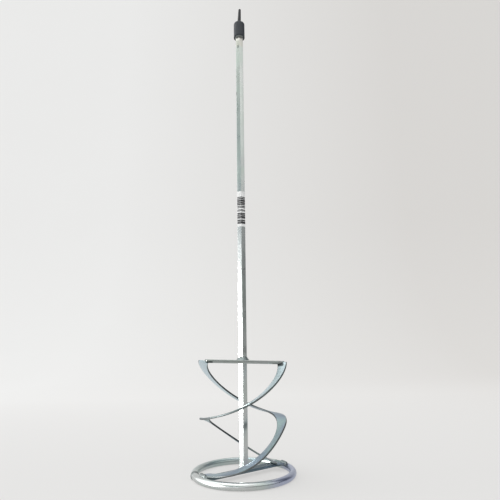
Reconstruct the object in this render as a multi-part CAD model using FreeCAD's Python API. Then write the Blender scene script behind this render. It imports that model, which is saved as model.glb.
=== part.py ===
"""Mortar mixing paddle: a welded and zinc-plated mixing head on a hexagonal shaft.

Frame: millimetres, +Z up the shaft, origin on the shaft's axis in the plane of the base
ring's underside. +X is the side where flight_a hangs from the upper crossbar.
Each function below returns the solid of one piece, and the last lines write the files.
"""
import FreeCAD, Part
import math
import os

Vec = FreeCAD.Vector
UP = Vec(0, 0, 1)
ORIGIN = Vec(0, 0, 0)

# Base ring: round rod bent to a circle, its ends butt-welded
RING_OUTER_D = 120.0
ROD_D = 8.0
RING_SEAM_DEG = -168.0
RING_SEAM_GAP_DEG = 2.5
SEAM_BEAD_DEG = 6.0
SEAM_BEAD_PROUD = 0.5
SEAM_BEAD_LOW_Z = 0.6

# Shaft: hexagonal bar that stands on the lower crossbar
HEX_FLATS = 10.0
HEX_CORNER_DEG = -87.0
SHAFT_TOP_Z = 582.0

# Threaded stud on the shaft's top, M14 x 2
THREAD_D = 14.0
THREAD_PITCH = 2.0
THREAD_DEPTH = 1.2
STUD_TOP_Z = 600.0

# Push-on plastic cap over the thread, with a pull stem
CAP_D = 15.6
CAP_BORE_D = 14.1
CAP_RIM_Z = 580.5
CAP_BORE_TOP_Z = 603.5
CAP_SHOULDER_Z = 602.5
CAP_TOP_Z = 605.3
CAP_FLAT_R = 2.9
STEM_ROOT_R = 2.55
STEM_TIP_R = 1.8
STEM_TOP_Z = 630.0
STEM_LEAN_DEG = 2.4
STEM_SUNK = 1.0

# Paper label wrapped round the shaft, its edges apart at the back
LABEL_LOW_Z = 295.4
LABEL_HIGH_Z = 343.4
LABEL_THICK = 0.15
LABEL_GAP = 3.0

# Crossbars: flat bars on their broad side
UPPER_BAR_LENGTH = 93.0
UPPER_BAR_WIDTH = 16.0
UPPER_BAR_THICK = 4.0
UPPER_BAR_LOW_Z = 124.5
UPPER_BAR_DEG = 8.0
UPPER_BAR_OFFSET = 1.9
UPPER_BAR_DROOP_DEG = 2.1
UPPER_HOLE_FLATS = 10.3
LOWER_BAR_WIDTH = 12.0
LOWER_BAR_THICK = 3.0
LOWER_BAR_LOW_Z = 4.0
LOWER_BAR_DEG = 37.0

# Flights: two flat bars wound down from the upper crossbar's ends to the base ring.
# Height and tilt are set at nine marks, an eighth of a turn apart, and the last mark is
# straight below the first. Tilt raises the outer edge. The two are bent by hand and differ.
# Each one's circle is shifted a little towards the side where it hangs.
FLIGHT_OUTER_R = 52.4
FLIGHT_SHIFT = 1.2
FLIGHT_WIDTH = 12.0
FLIGHT_THICK = 2.0
FIRST_MARK_DEG = 15.0
MARK_STEP_DEG = 45.0
SECTION_STEP_DEG = 7.5
FLIGHT_A_HEIGHTS = (130.0, 110.0, 86.0, 71.0, 64.0, 54.0, 31.0, 11.0, 10.0)
FLIGHT_A_TILTS = (20.0, 25.0, 5.0, 0.0, 0.0, 25.0, -5.0, -20.0, 0.0)
FLIGHT_A_SPAN_DEG = (8.0, 355.0)
FLIGHT_B_HEIGHTS = (128.0, 109.0, 83.0, 67.0, 62.0, 47.0, 23.0, 11.0, 7.0)
FLIGHT_B_TILTS = (20.0, 20.0, -10.0, -20.0, 5.0, 30.0, -5.0, -5.0, 5.0)
FLIGHT_B_SPAN_DEG = (0.0, 346.0)
# Their tops overlap the upper bar's end faces up to this height above its underside
FLIGHT_END_RISE = 3.0

# Weld beads
BEAD_R = 2.4
BEAD_SUNK = 0.6
HUB_BEAD_R = 7.9
UPPER_HUB_BEAD_HEIGHT = 4.5
LOWER_HUB_BEAD_HEIGHT = 2.5
HUB_BEAD_SUNK = 0.3
FOOT_BEAD_SET_BACK_DEG = 1.0
FOOT_BEAD_SWEEP_DEG = 9.0
TOP_BEAD_R = 1.4
TOP_BEAD_RISE = 2.6
TOP_BEAD_LENGTH = 4.0
TOP_BEAD_A_SET_OUT = 3.0
TOP_BEAD_B_SET_OUT = 0.5
STUD_BEAD_BELOW = 2.0
STUD_BEAD_ABOVE = 1.0
STUD_BEAD_TOP_R = 6.5

# How far a shape that cuts another runs past it
OVERRUN = 10.0

ROD_R = ROD_D / 2
RING_R = RING_OUTER_D / 2 - ROD_R
LOWER_BAR_TOP_Z = LOWER_BAR_LOW_Z + LOWER_BAR_THICK
UPPER_BAR_TOP_Z = UPPER_BAR_LOW_Z + UPPER_BAR_THICK
HEX_CORNER_R = HEX_FLATS / math.sqrt(3)
THREAD_R = THREAD_D / 2


def at(radius, degrees, z):
    """The point at a radius, a plan angle and a height."""
    angle = math.radians(degrees)
    return Vec(radius * math.cos(angle), radius * math.sin(angle), z)


def hexagon_prism(flats, low_z, high_z):
    """A hexagonal prism on the axis, with a corner at HEX_CORNER_DEG."""
    corner_r = flats / math.sqrt(3)
    corners = [at(corner_r, HEX_CORNER_DEG + 60 * i, low_z) for i in range(7)]
    return Part.Face(Part.makePolygon(corners)).extrude(UP * (high_z - low_z))


def flat_bar(length, width, thick, low_z, degrees):
    """A flat bar centred on the axis, lying flat along a plan angle."""
    bar = Part.makeBox(length, width, thick, Vec(-length / 2, -width / 2, low_z))
    bar.rotate(ORIGIN, UP, degrees)
    return bar


def turned(outline):
    """A solid of revolution from an outline of (radius, height) points."""
    points = [Vec(r, 0, z) for r, z in outline]
    face = Part.Face(Part.makePolygon(points + points[:1]))
    return face.revolve(ORIGIN, UP, 360)


def bead(start, end, radius):
    """A straight weld bead with round ends."""
    run = end - start
    body = Part.makeCylinder(radius, run.Length, start, run)
    return body.fuse([Part.makeSphere(radius, start), Part.makeSphere(radius, end)])


def ring_part(radius, from_deg, sweep_deg):
    """A stretch of the ring's circle, swept by a disc of the given radius."""
    centre = at(RING_R, from_deg, ROD_R)
    along = at(1, from_deg + 90, 0)
    disc = Part.Face(Part.Wire(Part.makeCircle(radius, centre, along)))
    return disc.revolve(ORIGIN, UP, sweep_deg)


def base_ring():
    start = RING_SEAM_DEG + RING_SEAM_GAP_DEG / 2
    return ring_part(ROD_R, start, 360 - RING_SEAM_GAP_DEG)


def ring_seam_weld(ring):
    """The butt weld, ground away below so that the ring stands flat."""
    lump = ring_part(ROD_R + SEAM_BEAD_PROUD, RING_SEAM_DEG - SEAM_BEAD_DEG / 2, SEAM_BEAD_DEG)
    side = 2 * OVERRUN
    corner = at(RING_R, RING_SEAM_DEG, SEAM_BEAD_LOW_Z) - Vec(OVERRUN, OVERRUN, 0)
    above = Part.makeBox(side, side, side, corner)
    return lump.common(above).cut(ring)


def lower_crossbar(ring):
    """The lower bar, its ends coped to the inside of the ring."""
    bar = flat_bar(2 * RING_R, LOWER_BAR_WIDTH, LOWER_BAR_THICK, LOWER_BAR_LOW_Z, LOWER_BAR_DEG)
    return bar.cut(ring)


def upper_bar_blank(length, width, thick, rise=0.0):
    """The upper bar before punching: off centre to +X, where it also droops."""
    corner = Vec(UPPER_BAR_OFFSET - length / 2, -width / 2, UPPER_BAR_LOW_Z + rise)
    bar = Part.makeBox(length, width, thick, corner)
    bar.rotate(Vec(0, 0, UPPER_BAR_LOW_Z), Vec(0, 1, 0), UPPER_BAR_DROOP_DEG)
    bar.rotate(ORIGIN, UP, UPPER_BAR_DEG)
    return bar


def upper_crossbar():
    """The upper bar, punched for the shaft."""
    bar = upper_bar_blank(UPPER_BAR_LENGTH, UPPER_BAR_WIDTH, UPPER_BAR_THICK)
    punch = hexagon_prism(UPPER_HOLE_FLATS, UPPER_BAR_LOW_Z - OVERRUN, UPPER_BAR_TOP_Z + OVERRUN)
    return bar.cut(punch)


def hex_shaft():
    return hexagon_prism(HEX_FLATS, LOWER_BAR_TOP_Z, SHAFT_TOP_Z)


def threaded_stud():
    """The stud, with the thread as a stack of ridges one pitch apart."""
    root_r = THREAD_R - THREAD_DEPTH
    turns = int((STUD_TOP_Z - SHAFT_TOP_Z) / THREAD_PITCH) - 1
    outline = [(0, SHAFT_TOP_Z), (root_r, SHAFT_TOP_Z)]
    for turn in range(turns):
        foot_z = SHAFT_TOP_Z + THREAD_PITCH * (turn + 0.5)
        outline.append((root_r, foot_z))
        outline.append((THREAD_R, foot_z + THREAD_PITCH * 0.4))
        outline.append((THREAD_R, foot_z + THREAD_PITCH * 0.6))
    outline.append((root_r, SHAFT_TOP_Z + THREAD_PITCH * (turns + 0.5)))
    outline.append((root_r, STUD_TOP_Z))
    outline.append((0, STUD_TOP_Z))
    return turned(outline)


def stud_weld(shaft, stud):
    """The fillet below the stud, round the top of the shaft."""
    low_z = SHAFT_TOP_Z - STUD_BEAD_BELOW
    height = STUD_BEAD_BELOW + STUD_BEAD_ABOVE
    lump = Part.makeCone(HEX_CORNER_R, STUD_BEAD_TOP_R, height, Vec(0, 0, low_z))
    return lump.cut(shaft).cut(stud)


def cap_body():
    """The cap's round body, its shoulder an arc from the side wall to the flat round the stem."""
    outer_r = CAP_D / 2
    middle = math.radians(45)
    low = Vec(0, 0, CAP_RIM_Z)
    high = Vec(0, 0, CAP_TOP_Z)
    rim = Vec(outer_r, 0, CAP_RIM_Z)
    shoulder = Vec(outer_r, 0, CAP_SHOULDER_Z)
    root = Vec(CAP_FLAT_R, 0, CAP_TOP_Z)
    bend_r = CAP_FLAT_R + (outer_r - CAP_FLAT_R) * math.cos(middle)
    bend_z = CAP_SHOULDER_Z + (CAP_TOP_Z - CAP_SHOULDER_Z) * math.sin(middle)
    edges = [Part.LineSegment(low, rim).toShape()]
    edges.append(Part.LineSegment(rim, shoulder).toShape())
    edges.append(Part.Arc(shoulder, Vec(bend_r, 0, bend_z), root).toShape())
    edges.append(Part.LineSegment(root, high).toShape())
    edges.append(Part.LineSegment(high, low).toShape())
    solid = Part.Face(Part.Wire(edges)).revolve(ORIGIN, UP, 360)
    return solid.cut(Part.makeCylinder(CAP_BORE_D / 2, CAP_BORE_TOP_Z - CAP_RIM_Z, low))


def thread_cap():
    """The cap, open below, with a tapered stem that leans a little to +X."""
    lean_angle = math.radians(STEM_LEAN_DEG)
    lean = Vec(math.sin(lean_angle), 0, math.cos(lean_angle))
    root = Vec(0, 0, CAP_TOP_Z - STEM_SUNK)
    length = (STEM_TOP_Z - STEM_TIP_R - root.z) / math.cos(lean_angle)
    stem = Part.makeCone(STEM_ROOT_R, STEM_TIP_R, length, root, lean)
    tip = Part.makeSphere(STEM_TIP_R, root + lean * length)
    return cap_body().fuse([stem, tip]).removeSplitter()


def barcode_label(shaft):
    wrap = hexagon_prism(HEX_FLATS + 2 * LABEL_THICK, LABEL_LOW_Z, LABEL_HIGH_Z)
    height = LABEL_HIGH_Z - LABEL_LOW_Z
    back = Part.makeBox(LABEL_GAP, HEX_FLATS, height, Vec(-LABEL_GAP / 2, 0, LABEL_LOW_Z))
    return wrap.cut(shaft).cut(back)


def bar_section(centre, across, through):
    """The flat bar's rectangular section, from its middle and its two directions."""
    corners = []
    for side, face in ((1, 1), (1, -1), (-1, -1), (-1, 1)):
        edge = across * (side * FLIGHT_WIDTH / 2)
        corners.append(centre + edge + through * (face * FLIGHT_THICK / 2))
    return Part.makePolygon(corners + corners[:1])


def flight(heights, tilts, span, turn_deg):
    """One flight: a flat bar swept down through its height and tilt marks."""
    marks = [Vec(i, z, tilt) for i, (z, tilt) in enumerate(zip(heights, tilts))]
    law = Part.BSplineCurve()
    law.interpolate(Points=marks, Parameters=[float(i) for i in range(len(marks))])
    count = int(round((span[1] - span[0]) / SECTION_STEP_DEG))
    shift = at(FLIGHT_SHIFT, turn_deg, 0)
    middle_r = FLIGHT_OUTER_R - FLIGHT_WIDTH / 2
    sections = []
    for i in range(count + 1):
        wound = span[0] + (span[1] - span[0]) * i / count
        mark = wound / MARK_STEP_DEG
        height = law.value(mark).y
        tilt = math.radians(law.value(mark).z)
        slope = law.getD1(mark)[1].y / math.radians(MARK_STEP_DEG)
        angle = FIRST_MARK_DEG - wound + turn_deg
        out = at(1, angle, 0)
        across = out * math.cos(tilt) + UP * math.sin(tilt)
        along = at(middle_r, angle - 90, slope).normalize()
        through = across.cross(along).normalize()
        sections.append(bar_section(out * middle_r + UP * height + shift, across, through))
    return Part.makeLoft(sections, True)


def largest(shape):
    """The main solid of a shape that its neighbours cut into."""
    return max(shape.Solids, key=lambda solid: solid.Volume)


def fitted_flight(strip, ring, lower_bar):
    """A flight trimmed against the ring and both crossbars. It overlaps the upper bar's end face."""
    bar = upper_bar_blank(UPPER_BAR_LENGTH, UPPER_BAR_WIDTH, UPPER_BAR_THICK)
    above = upper_bar_blank(2 * UPPER_BAR_LENGTH, 2 * UPPER_BAR_LENGTH, 4 * OVERRUN, FLIGHT_END_RISE)
    return largest(strip.cut([bar, above, lower_bar, ring]))


def hub_weld(low_z, height, shaft):
    """The fillet round the shaft on top of a crossbar."""
    return Part.makeCone(HUB_BEAD_R, HEX_CORNER_R, height, Vec(0, 0, low_z)).cut(shaft)


def upper_hub_weld(shaft):
    """It is sunk a little, to meet the drooping bar all round, and the bar is cut away."""
    lump = hub_weld(UPPER_BAR_TOP_Z - HUB_BEAD_SUNK, UPPER_HUB_BEAD_HEIGHT, shaft)
    return lump.cut(upper_bar_blank(UPPER_BAR_LENGTH, UPPER_BAR_WIDTH, UPPER_BAR_THICK))


def lower_hub_weld(shaft):
    """It is as wide as the lower crossbar at most."""
    strip = flat_bar(4 * HUB_BEAD_R, LOWER_BAR_WIDTH, OVERRUN, LOWER_BAR_TOP_Z, LOWER_BAR_DEG)
    return hub_weld(LOWER_BAR_TOP_Z, LOWER_HUB_BEAD_HEIGHT, shaft).common(strip)


def bar_end_weld(side_deg, others):
    """The bead across the top of the lower crossbar's end, against the ring."""
    half = (LOWER_BAR_WIDTH - BEAD_R) / 2
    radius = RING_R - ROD_R + BEAD_SUNK
    middle = at(radius, LOWER_BAR_DEG + side_deg, LOWER_BAR_TOP_Z - BEAD_SUNK)
    along = at(half, LOWER_BAR_DEG + side_deg + 90, 0)
    return bead(middle - along, middle + along, BEAD_R).cut(others)


def foot_weld(end_deg, others):
    """The bead along the outer edge of a flight's foot, against the ring."""
    radius = FLIGHT_OUTER_R + BEAD_SUNK
    from_deg = end_deg + FOOT_BEAD_SET_BACK_DEG
    start = at(radius, from_deg, ROD_D)
    end = at(radius, from_deg + FOOT_BEAD_SWEEP_DEG, ROD_D)
    return bead(start, end, BEAD_R).cut(others)


def top_weld(side_deg, set_out, others):
    """The bead between the upper crossbar's end face and the top of a flight."""
    side = math.cos(math.radians(side_deg))
    radius = UPPER_BAR_LENGTH / 2 + side * UPPER_BAR_OFFSET
    angle = UPPER_BAR_DEG + side_deg
    low_z = UPPER_BAR_LOW_Z - side * radius * math.sin(math.radians(UPPER_BAR_DROOP_DEG))
    end = at(radius, angle, low_z + TOP_BEAD_RISE)
    front = at(1, UPPER_BAR_DEG - 90, 0)
    start = end + front * set_out
    return bead(start, start + front * TOP_BEAD_LENGTH, TOP_BEAD_R).cut(others)


ring = base_ring()
shaft = hex_shaft()
stud = threaded_stud()
lower_bar = lower_crossbar(ring)
upper_bar = upper_crossbar()
strip_a = flight(FLIGHT_A_HEIGHTS, FLIGHT_A_TILTS, FLIGHT_A_SPAN_DEG, 0)
strip_b = flight(FLIGHT_B_HEIGHTS, FLIGHT_B_TILTS, FLIGHT_B_SPAN_DEG, 180)
flight_a = fitted_flight(strip_a, ring, lower_bar)
flight_b = fitted_flight(strip_b, ring, lower_bar)
seam = ring_seam_weld(ring)
steel = [ring, seam, lower_bar, upper_bar, flight_a, flight_b]
foot_a_deg = FIRST_MARK_DEG - FLIGHT_A_SPAN_DEG[1]
foot_b_deg = FIRST_MARK_DEG - FLIGHT_B_SPAN_DEG[1] + 180
bar_weld_a = largest(bar_end_weld(0, steel))
bar_weld_b = largest(bar_end_weld(180, steel))

pieces = {
    "base_ring": ring,
    "ring_seam_weld": seam,
    "lower_crossbar": lower_bar,
    "upper_crossbar": upper_bar,
    "hex_shaft": shaft,
    "threaded_stud": stud,
    "stud_weld": stud_weld(shaft, stud),
    "thread_cap": thread_cap(),
    "barcode_label": barcode_label(shaft),
    "flight_a": flight_a,
    "flight_b": flight_b,
    "upper_hub_weld": upper_hub_weld(shaft),
    "lower_hub_weld": lower_hub_weld(shaft),
    "bar_end_weld_a": bar_weld_a,
    "bar_end_weld_b": bar_weld_b,
    "flight_a_foot_weld": largest(foot_weld(foot_a_deg, steel + [bar_weld_a])),
    "flight_b_foot_weld": largest(foot_weld(foot_b_deg, steel + [bar_weld_b])),
    "flight_a_top_weld": largest(top_weld(0, TOP_BEAD_A_SET_OUT, steel)),
    "flight_b_top_weld": largest(top_weld(180, TOP_BEAD_B_SET_OUT, steel)),
}

os.makedirs("parts", exist_ok=True)
for name, shape in pieces.items():
    shape.exportStep("parts/" + name + ".step")
    print(name, shape.isValid(), len(shape.Solids), round(shape.Volume, 1))
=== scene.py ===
"""Looks of the mortar mixing paddle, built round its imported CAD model.

Lengths are in millimetres and are turned into metres where a mesh is made. The frame is the
CAD's: origin on the shaft's axis in the plane of the base ring's underside, +Z up the shaft.
"""
import bmesh
import bpy
import math
import numpy as np
from mathutils import Matrix, Vector, noise

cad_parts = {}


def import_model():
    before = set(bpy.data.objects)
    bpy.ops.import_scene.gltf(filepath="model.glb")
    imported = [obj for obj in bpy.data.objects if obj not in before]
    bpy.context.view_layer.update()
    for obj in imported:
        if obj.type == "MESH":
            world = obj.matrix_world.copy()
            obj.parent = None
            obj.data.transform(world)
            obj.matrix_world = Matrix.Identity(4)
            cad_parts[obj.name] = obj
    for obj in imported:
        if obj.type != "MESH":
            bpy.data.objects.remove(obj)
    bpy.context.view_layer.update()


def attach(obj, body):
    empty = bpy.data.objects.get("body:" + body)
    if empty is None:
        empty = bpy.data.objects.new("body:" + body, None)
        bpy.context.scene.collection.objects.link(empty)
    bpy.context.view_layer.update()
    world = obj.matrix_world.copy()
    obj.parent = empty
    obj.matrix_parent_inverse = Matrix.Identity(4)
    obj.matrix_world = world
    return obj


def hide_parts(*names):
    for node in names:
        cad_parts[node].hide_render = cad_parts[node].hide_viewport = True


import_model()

MM = 0.001
UP = np.array([0.0, 0.0, 1.0])

# Sizes that the CAD model has too. At each flight's marks, an eighth of a turn apart, it has a
# height and a tilt, and flights and beads are worked out from them in the same way.
RING_R = 56.0
ROD_R = 4.0
RING_SEAM_DEG = -168.0
RING_SEAM_GAP_DEG = 2.5
HEX_FLATS = 10.0
HEX_CORNER_DEG = -87.0
SHAFT_LOW_Z = 7.0
SHAFT_TOP_Z = 582.0
THREAD_R = 7.0
THREAD_PITCH = 2.0
THREAD_DEPTH = 1.2
STUD_TOP_Z = 600.0
CAP_R = 7.8
CAP_BORE_R = 7.05
CAP_RIM_Z = 580.5
CAP_BORE_TOP_Z = 603.5
CAP_SHOULDER_Z = 602.5
CAP_TOP_Z = 605.3
STEM_ROOT_R = 2.55
STEM_TIP_R = 1.8
STEM_TOP_Z = 630.0
STEM_LEAN_DEG = 2.4
LABEL_LOW_Z = 295.4
LABEL_HIGH_Z = 343.4
LABEL_THICK = 0.15
LABEL_GAP = 3.0
UPPER_BAR_LENGTH = 93.0
UPPER_BAR_WIDTH = 16.0
UPPER_BAR_THICK = 4.0
UPPER_BAR_LOW_Z = 124.5
UPPER_BAR_DEG = 8.0
UPPER_BAR_OFFSET = 1.9
UPPER_BAR_DROOP_DEG = 2.1
LOWER_BAR_WIDTH = 12.0
LOWER_BAR_THICK = 3.0
LOWER_BAR_LOW_Z = 4.0
LOWER_BAR_DEG = 37.0
FLIGHT_MIDDLE_R = 46.4
FLIGHT_SHIFT = 1.2
FLIGHT_WIDTH = 12.0
FLIGHT_THICK = 2.0
FIRST_MARK_DEG = 15.0
MARK_STEP_DEG = 45.0
FLIGHT_A_HEIGHTS = (130.0, 110.0, 86.0, 71.0, 64.0, 54.0, 31.0, 11.0, 10.0)
FLIGHT_A_TILTS = (20.0, 25.0, 5.0, 0.0, 0.0, 25.0, -5.0, -20.0, 0.0)
FLIGHT_A_SPAN_DEG = (8.0, 355.0)
FLIGHT_B_HEIGHTS = (128.0, 109.0, 83.0, 67.0, 62.0, 47.0, 23.0, 11.0, 7.0)
FLIGHT_B_TILTS = (20.0, 20.0, -10.0, -20.0, 5.0, 30.0, -5.0, -5.0, 5.0)
FLIGHT_B_SPAN_DEG = (0.0, 346.0)
FLIGHT_END_RISE = 3.0
TOP_BEAD_R = 1.4
TOP_BEAD_RISE = 2.6
TOP_BEAD_LENGTH = 4.0
TOP_BEAD_SET_OUTS = (3.0, 0.5)

# Sizes of this model only: rounded edges, and the beads at the bars' ends and the flights' feet
FLIGHT_EDGE_R = 0.55
UPPER_BAR_EDGE_R = 0.7
UPPER_BAR_CHAMFER = 0.4
LOWER_BAR_EDGE_R = 0.5
LOWER_BAR_OVERLAP = 1.5
HEX_EDGE_R = 0.55
BEAD_R = 2.3
BEAD_SUNK = 0.6
FOOT_BEAD_PATH_R = 53.0
FOOT_BEAD_Z = 8.0
FOOT_BEAD_SWEEP_DEG = 9.0
HUB_BEAD_INNER_R = 5.2
HUB_BEAD_CORE_R = 4.6
HUB_BEAD_SUNK = 0.4
STEM_FILLET_R = 0.9
LABEL_FIRST_BAR = 3.5


# ---------------------------------------------------------------- meshes

def at(radius, degrees, z):
    """The point at a radius, a plan angle and a height."""
    angle = math.radians(degrees)
    return np.array([radius * math.cos(angle), radius * math.sin(angle), z])


def unit(vector):
    return vector / np.linalg.norm(vector)


def piece(name, points, faces, materials, body, nodes, sharp_deg=35.0, inks=None):
    """A mesh object from points in millimetres. It rides on a body and stands for CAD nodes."""
    mesh = bpy.data.meshes.new(name)
    mesh.from_pydata([tuple(p) for p in np.asarray(points) * MM], [], faces)
    mesh.validate()
    for material in materials:
        mesh.materials.append(material)
    if inks is not None:
        mesh.polygons.foreach_set("material_index", inks)
    mesh.shade_smooth()
    mesh.set_sharp_from_angle(angle=math.radians(sharp_deg))
    mesh.update()
    made = bpy.data.objects.new(name, mesh)
    bpy.context.scene.collection.objects.link(made)
    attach(made, body)
    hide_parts(*nodes)
    return made


def tube_faces(rings, around, closed=False):
    """Faces of a grid of rings of points, capped at both ends unless it closes on itself."""
    faces = []
    for i in range(rings if closed else rings - 1):
        low, high = i * around, ((i + 1) % rings) * around
        for j in range(around):
            k = (j + 1) % around
            faces.append((low + j, low + k, high + k, high + j))
    if not closed:
        faces.append(tuple(reversed(range(around))))
        faces.append(tuple(range((rings - 1) * around, rings * around)))
    return faces


def rounded_outline(corners, radius, steps):
    """A convex outline (2-D points) with its corners rounded."""
    outline = []
    count = len(corners)
    for i in range(count):
        here = np.array(corners[i], float)
        before = unit(np.array(corners[i - 1], float) - here)
        after = unit(np.array(corners[(i + 1) % count], float) - here)
        half = math.acos(float(np.clip(before @ after, -1, 1))) / 2
        middle = here + unit(before + after) * (radius / math.sin(half))
        start = here + before * (radius / math.tan(half)) - middle
        end = here + after * (radius / math.tan(half)) - middle
        turn = math.atan2(start[0] * end[1] - start[1] * end[0], start @ end)
        for s in range(steps + 1):
            angle = turn * s / steps
            c, n = math.cos(angle), math.sin(angle)
            outline.append(middle + np.array([c * start[0] - n * start[1], n * start[0] + c * start[1]]))
    return np.array(outline)


def rectangle(width, thick, radius, steps=3):
    w, t = width / 2, thick / 2
    return rounded_outline([(w, -t), (w, t), (-w, t), (-w, -t)], radius, steps)


def hexagon(flats, radius, steps=3):
    reach = flats / math.sqrt(3)
    corners = [at(reach, HEX_CORNER_DEG + 60 * i, 0)[:2] for i in range(6)]
    return rounded_outline(corners, radius, steps)


def spline_law(values):
    """A smooth curve through values set one mark apart. It returns height and slope at a mark."""
    values = np.array(values, float)
    last = len(values) - 1
    ends = np.array([-11.0, 18.0, -9.0, 2.0]) / 6
    matrix = np.eye(last + 1)
    right = np.zeros(last + 1)
    right[0] = ends @ values[:4]
    right[last] = -(ends @ values[::-1][:4])
    for i in range(1, last):
        matrix[i, i - 1:i + 2] = (1, 4, 1)
        right[i] = 3 * (values[i + 1] - values[i - 1])
    slopes = np.linalg.solve(matrix, right)

    def law(mark):
        i = int(min(max(math.floor(mark), 0), last - 1))
        t = mark - i
        a, b, m, n = values[i], values[i + 1], slopes[i], slopes[i + 1]
        c = 3 * (b - a) - 2 * m - n
        d = 2 * (a - b) + m + n
        return a + t * (m + t * (c + t * d)), m + t * (2 * c + 3 * t * d)

    return law


def wobble(point, scale, seed=0.0):
    """Smooth noise from -1 to 1 with features of the given size in millimetres."""
    return noise.noise(Vector(point) / scale + Vector((seed, seed * 0.7, seed * 1.3)))


def swept(sections, outline):
    """Points of an outline placed on each (centre, across, through) section."""
    points = []
    for centre, across, through in sections:
        for u, v in outline:
            points.append(centre + across * u + through * v)
    return points


def chamfered(sections, size):
    """The sections with a small chamfer step at each end, as (section, shrink) pairs."""
    first, last = sections[0], sections[-1]
    start = unit(sections[1][0] - first[0]) * size
    end = unit(last[0] - sections[-2][0]) * size
    inner = [(c, a, t) for c, a, t in sections]
    inner[0] = (first[0] + start, first[1], first[2])
    inner[-1] = (last[0] - end, last[1], last[2])
    return [(first, size)] + [(s, 0.0) for s in inner] + [(last, size)]


def bar_mesh(sections, width, thick, radius, chamfer=0.35):
    """Points and faces of a bar of rounded rectangular section."""
    points = []
    stepped = chamfered(sections, chamfer)
    for (centre, across, through), shrink in stepped:
        outline = rectangle(width - 2 * shrink, thick - 2 * shrink, max(radius - shrink, 0.05))
        points.extend(swept([(centre, across, through)], outline))
    around = len(rectangle(width, thick, radius))
    return points, tube_faces(len(stepped), around)


def cut_above(points, faces, origin, normal, inks):
    """The mesh cut by a plane, with what is above it taken off and the cut filled."""
    made = bmesh.new()
    verts = [made.verts.new(tuple(p)) for p in points]
    for face, ink in zip(faces, inks):
        made.faces.new([verts[i] for i in face]).material_index = ink
    geometry = made.verts[:] + made.edges[:] + made.faces[:]
    cut = bmesh.ops.bisect_plane(made, geom=geometry, dist=1e-4, plane_co=tuple(origin),
                                 plane_no=tuple(normal), clear_outer=True)
    edges = [e for e in cut["geom_cut"] if isinstance(e, bmesh.types.BMEdge)]
    bmesh.ops.holes_fill(made, edges=edges, sides=0)
    bmesh.ops.recalc_face_normals(made, faces=made.faces[:])
    made.verts.index_update()
    new_points = [np.array(v.co) for v in made.verts]
    new_faces = [tuple(v.index for v in f.verts) for f in made.faces]
    new_inks = [f.material_index for f in made.faces]
    made.free()
    return new_points, new_faces, new_inks


def upper_bar_frame():
    """The upper bar's own axes and the middle of its underside."""
    droop = math.radians(UPPER_BAR_DROOP_DEG)
    turn = math.radians(UPPER_BAR_DEG)
    ahead = np.array([math.cos(turn), math.sin(turn), 0.0])
    side = np.array([-math.sin(turn), math.cos(turn), 0.0])
    along = ahead * math.cos(droop) - UP * math.sin(droop)
    above = ahead * math.sin(droop) + UP * math.cos(droop)
    return along, side, above, np.array([0.0, 0.0, UPPER_BAR_LOW_Z])


def flight_mesh(heights, tilts, span, turn_deg, step_deg=1.5):
    height_law, tilt_law = spline_law(heights), spline_law(tilts)
    count = int(round((span[1] - span[0]) / step_deg))
    shift = at(FLIGHT_SHIFT, turn_deg, 0)
    sections = []
    for i in range(count + 1):
        wound = span[0] + (span[1] - span[0]) * i / count
        mark = wound / MARK_STEP_DEG
        height, slope = height_law(mark)
        tilt = math.radians(tilt_law(mark)[0])
        angle = FIRST_MARK_DEG - wound + turn_deg
        out = at(1, angle, 0)
        across = out * math.cos(tilt) + UP * math.sin(tilt)
        along = unit(at(FLIGHT_MIDDLE_R, angle - 90, slope / math.radians(MARK_STEP_DEG)))
        through = unit(np.cross(across, along))
        sections.append((out * FLIGHT_MIDDLE_R + UP * height + shift, across, through))
    points, faces = bar_mesh(sections, FLIGHT_WIDTH, FLIGHT_THICK, FLIGHT_EDGE_R)
    outline = rectangle(FLIGHT_WIDTH, FLIGHT_THICK, FLIGHT_EDGE_R)
    around = len(outline)
    edges = [i for i, (u, v) in enumerate(outline) if abs(u) > FLIGHT_WIDTH / 2 - FLIGHT_EDGE_R - 0.05]
    inks = []
    for face in faces:
        narrow = len(face) > 4 or all(i % around in edges for i in face)
        spots = [outline[i % around][0] for i in face]
        if not narrow or len(face) > 4 or max(spots) - min(spots) > FLIGHT_WIDTH / 2:
            inks.append(0)
        else:
            # Edge faces take darker copies of the zinc: painted shade.
            inks.append(1 if spots[0] > 0 else 2)
    above, origin = upper_bar_frame()[2:]
    return cut_above(points, faces, origin + above * FLIGHT_END_RISE, above, inks)


def revolved(profile, around):
    """Points and faces of a closed profile of (radius, height) turned round the axis."""
    points = []
    for j in range(around):
        angle = 360.0 * j / around
        points.extend(at(max(r, 0.0), angle, z) for r, z in profile)
    count = len(profile)
    faces = []
    for j in range(around):
        k = (j + 1) % around
        for i in range(count):
            n = (i + 1) % count
            faces.append((j * count + i, k * count + i, k * count + n, j * count + n))
    return points, faces


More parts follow.
